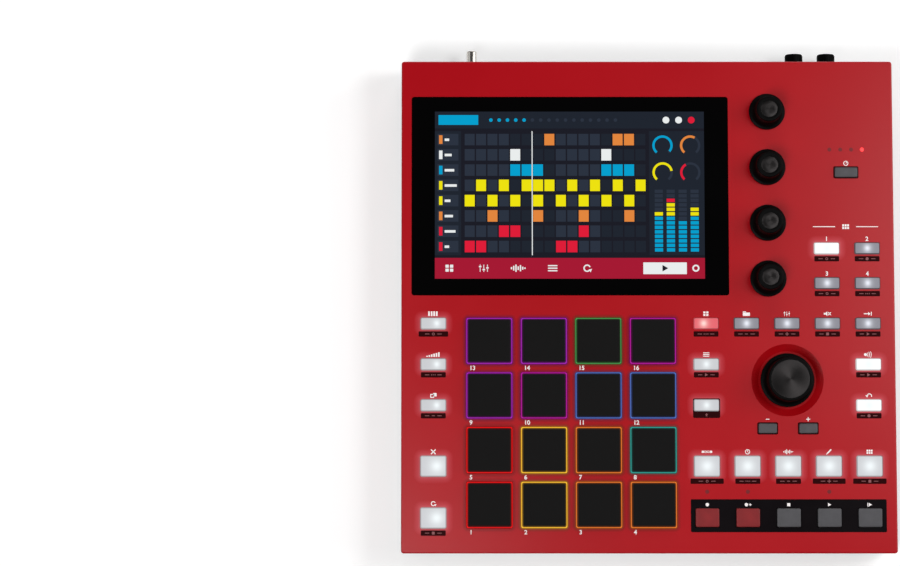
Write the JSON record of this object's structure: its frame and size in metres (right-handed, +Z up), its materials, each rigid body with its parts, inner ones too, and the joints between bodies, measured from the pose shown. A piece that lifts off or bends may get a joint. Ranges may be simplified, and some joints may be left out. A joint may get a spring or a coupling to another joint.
{
  "type": "music production center",
  "caption": "Square tabletop music production center: lit square pads, a touch screen, backlit keys, turning knobs and a data wheel on a red case with a black base.",
  "frame": {"origin": "under the middle of the whole footprint, on the table that the feet stand on", "axes": "+X to the player's right, +Y to the rear, +Z up"},
  "size_m": [0.272, 0.281, 0.053],
  "materials": {
    "case_red": "satin red paint",
    "case_black": "fine textured black",
    "screen": "black bordered cover glass over a lit display",
    "boards": "green boards with black and metal sockets",
    "hardware": "black rubber feet with black steel screws",
    "pad_rubber": "black faced translucent silicone",
    "key_silicone": "translucent white silicone",
    "knob_black": "black with a spun cap",
    "button_metal": "turned bright metal"
  },
  "bodies": {
    "case": {"top_cover": "case_red", "bottom_cover": "case_black", "touchscreen": "screen", "circuit_boards": "boards", "feet_and_screws": "hardware"},
    "pad_1": {"pad_1": "pad_rubber"},
    "pad_2": {"pad_2": "pad_rubber"},
    "pad_3": {"pad_3": "pad_rubber"},
    "pad_4": {"pad_4": "pad_rubber"},
    "pad_5": {"pad_5": "pad_rubber"},
    "pad_6": {"pad_6": "pad_rubber"},
    "pad_7": {"pad_7": "pad_rubber"},
    "pad_8": {"pad_8": "pad_rubber"},
    "pad_9": {"pad_9": "pad_rubber"},
    "pad_10": {"pad_10": "pad_rubber"},
    "pad_11": {"pad_11": "pad_rubber"},
    "pad_12": {"pad_12": "pad_rubber"},
    "pad_13": {"pad_13": "pad_rubber"},
    "pad_14": {"pad_14": "pad_rubber"},
    "pad_15": {"pad_15": "pad_rubber"},
    "pad_16": {"pad_16": "pad_rubber"},
    "level_button": {"level_button": "key_silicone"},
    "sixteen_levels_button": {"sixteen_levels_button": "key_silicone"},
    "copy_button": {"copy_button": "key_silicone"},
    "erase_button": {"erase_button": "key_silicone"},
    "repeat_button": {"repeat_button": "key_silicone"},
    "main_button": {"main_button": "key_silicone"},
    "browse_button": {"browse_button": "key_silicone"},
    "mix_button": {"mix_button": "key_silicone"},
    "mute_button": {"mute_button": "key_silicone"},
    "sequence_button": {"sequence_button": "key_silicone"},
    "menu_button": {"menu_button": "key_silicone"},
    "shift_button": {"shift_button": "key_silicone"},
    "tap_button": {"tap_button": "key_silicone"},
    "undo_button": {"undo_button": "key_silicone"},
    "minus_button": {"minus_button": "key_silicone"},
    "plus_button": {"plus_button": "key_silicone"},
    "step_button": {"step_button": "key_silicone"},
    "timing_button": {"timing_button": "key_silicone"},
    "sampler_button": {"sampler_button": "key_silicone"},
    "edit_button": {"edit_button": "key_silicone"},
    "program_button": {"program_button": "key_silicone"},
    "record_button": {"record_button": "key_silicone"},
    "overdub_button": {"overdub_button": "key_silicone"},
    "stop_button": {"stop_button": "key_silicone"},
    "play_button": {"play_button": "key_silicone"},
    "play_start_button": {"play_start_button": "key_silicone"},
    "knob_bank_button": {"knob_bank_button": "key_silicone"},
    "pad_bank_1_button": {"pad_bank_1_button": "key_silicone"},
    "pad_bank_2_button": {"pad_bank_2_button": "key_silicone"},
    "pad_bank_3_button": {"pad_bank_3_button": "key_silicone"},
    "pad_bank_4_button": {"pad_bank_4_button": "key_silicone"},
    "assign_knob_1": {"assign_knob_1": "knob_black"},
    "assign_knob_2": {"assign_knob_2": "knob_black"},
    "assign_knob_3": {"assign_knob_3": "knob_black"},
    "assign_knob_4": {"assign_knob_4": "knob_black"},
    "data_wheel": {"data_wheel": "knob_black"},
    "power_button": {"power_button": "button_metal"},
    "record_volume_knob": {"record_volume_knob": "knob_black"},
    "main_volume_knob": {"main_volume_knob": "knob_black"}
  },
  "joints": [
    {"name": "pad_1_press", "type": "slide", "parent": "case", "child": "pad_1", "axis": [0, 0, -1], "range_m": [0, 0.001], "stiffness_N_per_m": 3000},
    {"name": "pad_2_press", "type": "slide", "parent": "case", "child": "pad_2", "axis": [0, 0, -1], "range_m": [0, 0.001], "stiffness_N_per_m": 3000},
    {"name": "pad_3_press", "type": "slide", "parent": "case", "child": "pad_3", "axis": [0, 0, -1], "range_m": [0, 0.001], "stiffness_N_per_m": 3000},
    {"name": "pad_4_press", "type": "slide", "parent": "case", "child": "pad_4", "axis": [0, 0, -1], "range_m": [0, 0.001], "stiffness_N_per_m": 3000},
    {"name": "pad_5_press", "type": "slide", "parent": "case", "child": "pad_5", "axis": [0, 0, -1], "range_m": [0, 0.001], "stiffness_N_per_m": 3000},
    {"name": "pad_6_press", "type": "slide", "parent": "case", "child": "pad_6", "axis": [0, 0, -1], "range_m": [0, 0.001], "stiffness_N_per_m": 3000},
    {"name": "pad_7_press", "type": "slide", "parent": "case", "child": "pad_7", "axis": [0, 0, -1], "range_m": [0, 0.001], "stiffness_N_per_m": 3000},
    {"name": "pad_8_press", "type": "slide", "parent": "case", "child": "pad_8", "axis": [0, 0, -1], "range_m": [0, 0.001], "stiffness_N_per_m": 3000},
    {"name": "pad_9_press", "type": "slide", "parent": "case", "child": "pad_9", "axis": [0, 0, -1], "range_m": [0, 0.001], "stiffness_N_per_m": 3000},
    {"name": "pad_10_press", "type": "slide", "parent": "case", "child": "pad_10", "axis": [0, 0, -1], "range_m": [0, 0.001], "stiffness_N_per_m": 3000},
    {"name": "pad_11_press", "type": "slide", "parent": "case", "child": "pad_11", "axis": [0, 0, -1], "range_m": [0, 0.001], "stiffness_N_per_m": 3000},
    {"name": "pad_12_press", "type": "slide", "parent": "case", "child": "pad_12", "axis": [0, 0, -1], "range_m": [0, 0.001], "stiffness_N_per_m": 3000},
    {"name": "pad_13_press", "type": "slide", "parent": "case", "child": "pad_13", "axis": [0, 0, -1], "range_m": [0, 0.001], "stiffness_N_per_m": 3000},
    {"name": "pad_14_press", "type": "slide", "parent": "case", "child": "pad_14", "axis": [0, 0, -1], "range_m": [0, 0.001], "stiffness_N_per_m": 3000},
    {"name": "pad_15_press", "type": "slide", "parent": "case", "child": "pad_15", "axis": [0, 0, -1], "range_m": [0, 0.001], "stiffness_N_per_m": 3000},
    {"name": "pad_16_press", "type": "slide", "parent": "case", "child": "pad_16", "axis": [0, 0, -1], "range_m": [0, 0.001], "stiffness_N_per_m": 3000},
    {"name": "level_button_press", "type": "slide", "parent": "case", "child": "level_button", "axis": [0, 0, -1], "range_m": [0, 0.0008], "stiffness_N_per_m": 1500},
    {"name": "sixteen_levels_button_press", "type": "slide", "parent": "case", "child": "sixteen_levels_button", "axis": [0, 0, -1], "range_m": [0, 0.0008], "stiffness_N_per_m": 1500},
    {"name": "copy_button_press", "type": "slide", "parent": "case", "child": "copy_button", "axis": [0, 0, -1], "range_m": [0, 0.0008], "stiffness_N_per_m": 1500},
    {"name": "erase_button_press", "type": "slide", "parent": "case", "child": "erase_button", "axis": [0, 0, -1], "range_m": [0, 0.0008], "stiffness_N_per_m": 1500},
    {"name": "repeat_button_press", "type": "slide", "parent": "case", "child": "repeat_button", "axis": [0, 0, -1], "range_m": [0, 0.0008], "stiffness_N_per_m": 1500},
    {"name": "main_button_press", "type": "slide", "parent": "case", "child": "main_button", "axis": [0, 0, -1], "range_m": [0, 0.0008], "stiffness_N_per_m": 1500},
    {"name": "browse_button_press", "type": "slide", "parent": "case", "child": "browse_button", "axis": [0, 0, -1], "range_m": [0, 0.0008], "stiffness_N_per_m": 1500},
    {"name": "mix_button_press", "type": "slide", "parent": "case", "child": "mix_button", "axis": [0, 0, -1], "range_m": [0, 0.0008], "stiffness_N_per_m": 1500},
    {"name": "mute_button_press", "type": "slide", "parent": "case", "child": "mute_button", "axis": [0, 0, -1], "range_m": [0, 0.0008], "stiffness_N_per_m": 1500},
    {"name": "sequence_button_press", "type": "slide", "parent": "case", "child": "sequence_button", "axis": [0, 0, -1], "range_m": [0, 0.0008], "stiffness_N_per_m": 1500},
    {"name": "menu_button_press", "type": "slide", "parent": "case", "child": "menu_button", "axis": [0, 0, -1], "range_m": [0, 0.0008], "stiffness_N_per_m": 1500},
    {"name": "shift_button_press", "type": "slide", "parent": "case", "child": "shift_button", "axis": [0, 0, -1], "range_m": [0, 0.0008], "stiffness_N_per_m": 1500},
    {"name": "tap_button_press", "type": "slide", "parent": "case", "child": "tap_button", "axis": [0, 0, -1], "range_m": [0, 0.0008], "stiffness_N_per_m": 1500},
    {"name": "undo_button_press", "type": "slide", "parent": "case", "child": "undo_button", "axis": [0, 0, -1], "range_m": [0, 0.0008], "stiffness_N_per_m": 1500},
    {"name": "minus_button_press", "type": "slide", "parent": "case", "child": "minus_button", "axis": [0, 0, -1], "range_m": [0, 0.0008], "stiffness_N_per_m": 1500},
    {"name": "plus_button_press", "type": "slide", "parent": "case", "child": "plus_button", "axis": [0, 0, -1], "range_m": [0, 0.0008], "stiffness_N_per_m": 1500},
    {"name": "step_button_press", "type": "slide", "parent": "case", "child": "step_button", "axis": [0, 0, -1], "range_m": [0, 0.0008], "stiffness_N_per_m": 1500},
    {"name": "timing_button_press", "type": "slide", "parent": "case", "child": "timing_button", "axis": [0, 0, -1], "range_m": [0, 0.0008], "stiffness_N_per_m": 1500},
    {"name": "sampler_button_press", "type": "slide", "parent": "case", "child": "sampler_button", "axis": [0, 0, -1], "range_m": [0, 0.0008], "stiffness_N_per_m": 1500},
    {"name": "edit_button_press", "type": "slide", "parent": "case", "child": "edit_button", "axis": [0, 0, -1], "range_m": [0, 0.0008], "stiffness_N_per_m": 1500},
    {"name": "program_button_press", "type": "slide", "parent": "case", "child": "program_button", "axis": [0, 0, -1], "range_m": [0, 0.0008], "stiffness_N_per_m": 1500},
    {"name": "record_button_press", "type": "slide", "parent": "case", "child": "record_button", "axis": [0, 0, -1], "range_m": [0, 0.0008], "stiffness_N_per_m": 1500},
    {"name": "overdub_button_press", "type": "slide", "parent": "case", "child": "overdub_button", "axis": [0, 0, -1], "range_m": [0, 0.0008], "stiffness_N_per_m": 1500},
    {"name": "stop_button_press", "type": "slide", "parent": "case", "child": "stop_button", "axis": [0, 0, -1], "range_m": [0, 0.0008], "stiffness_N_per_m": 1500},
    {"name": "play_button_press", "type": "slide", "parent": "case", "child": "play_button", "axis": [0, 0, -1], "range_m": [0, 0.0008], "stiffness_N_per_m": 1500},
    {"name": "play_start_button_press", "type": "slide", "parent": "case", "child": "play_start_button", "axis": [0, 0, -1], "range_m": [0, 0.0008], "stiffness_N_per_m": 1500},
    {"name": "knob_bank_button_press", "type": "slide", "parent": "case", "child": "knob_bank_button", "axis": [0, 0, -1], "range_m": [0, 0.0008], "stiffness_N_per_m": 1500},
    {"name": "pad_bank_1_button_press", "type": "slide", "parent": "case", "child": "pad_bank_1_button", "axis": [0, 0, -1], "range_m": [0, 0.0008], "stiffness_N_per_m": 1500},
    {"name": "pad_bank_2_button_press", "type": "slide", "parent": "case", "child": "pad_bank_2_button", "axis": [0, 0, -1], "range_m": [0, 0.0008], "stiffness_N_per_m": 1500},
    {"name": "pad_bank_3_button_press", "type": "slide", "parent": "case", "child": "pad_bank_3_button", "axis": [0, 0, -1], "range_m": [0, 0.0008], "stiffness_N_per_m": 1500},
    {"name": "pad_bank_4_button_press", "type": "slide", "parent": "case", "child": "pad_bank_4_button", "axis": [0, 0, -1], "range_m": [0, 0.0008], "stiffness_N_per_m": 1500},
    {"name": "assign_knob_1_turn", "type": "hinge", "parent": "case", "child": "assign_knob_1", "pos_m": [0.0663, 0.10315, 0.038], "axis": [0, 0, 1], "continuous": true},
    {"name": "assign_knob_2_turn", "type": "hinge", "parent": "case", "child": "assign_knob_2", "pos_m": [0.0663, 0.07225, 0.038], "axis": [0, 0, 1], "continuous": true},
    {"name": "assign_knob_3_turn", "type": "hinge", "parent": "case", "child": "assign_knob_3", "pos_m": [0.0663, 0.04135, 0.038], "axis": [0, 0, 1], "continuous": true},
    {"name": "assign_knob_4_turn", "type": "hinge", "parent": "case", "child": "assign_knob_4", "pos_m": [0.0663, 0.01045, 0.038], "axis": [0, 0, 1], "continuous": true},
    {"name": "data_wheel_turn", "type": "hinge", "parent": "case", "child": "data_wheel", "pos_m": [0.0764, -0.04555, 0.0366], "axis": [0, 0, 1], "continuous": true},
    {"name": "power_button_press", "type": "slide", "parent": "case", "child": "power_button", "axis": [0, -1, 0], "range_m": [0, 0.0025], "stiffness_N_per_m": 600},
    {"name": "record_volume_knob_turn", "type": "hinge", "parent": "case", "child": "record_volume_knob", "pos_m": [0.084, 0.13145, 0.0176], "axis": [0, 1, 0], "range_deg": [-150, 150]},
    {"name": "main_volume_knob_turn", "type": "hinge", "parent": "case", "child": "main_volume_knob", "pos_m": [0.102, 0.13145, 0.0176], "axis": [0, 1, 0], "range_deg": [-150, 150]}
  ]
}
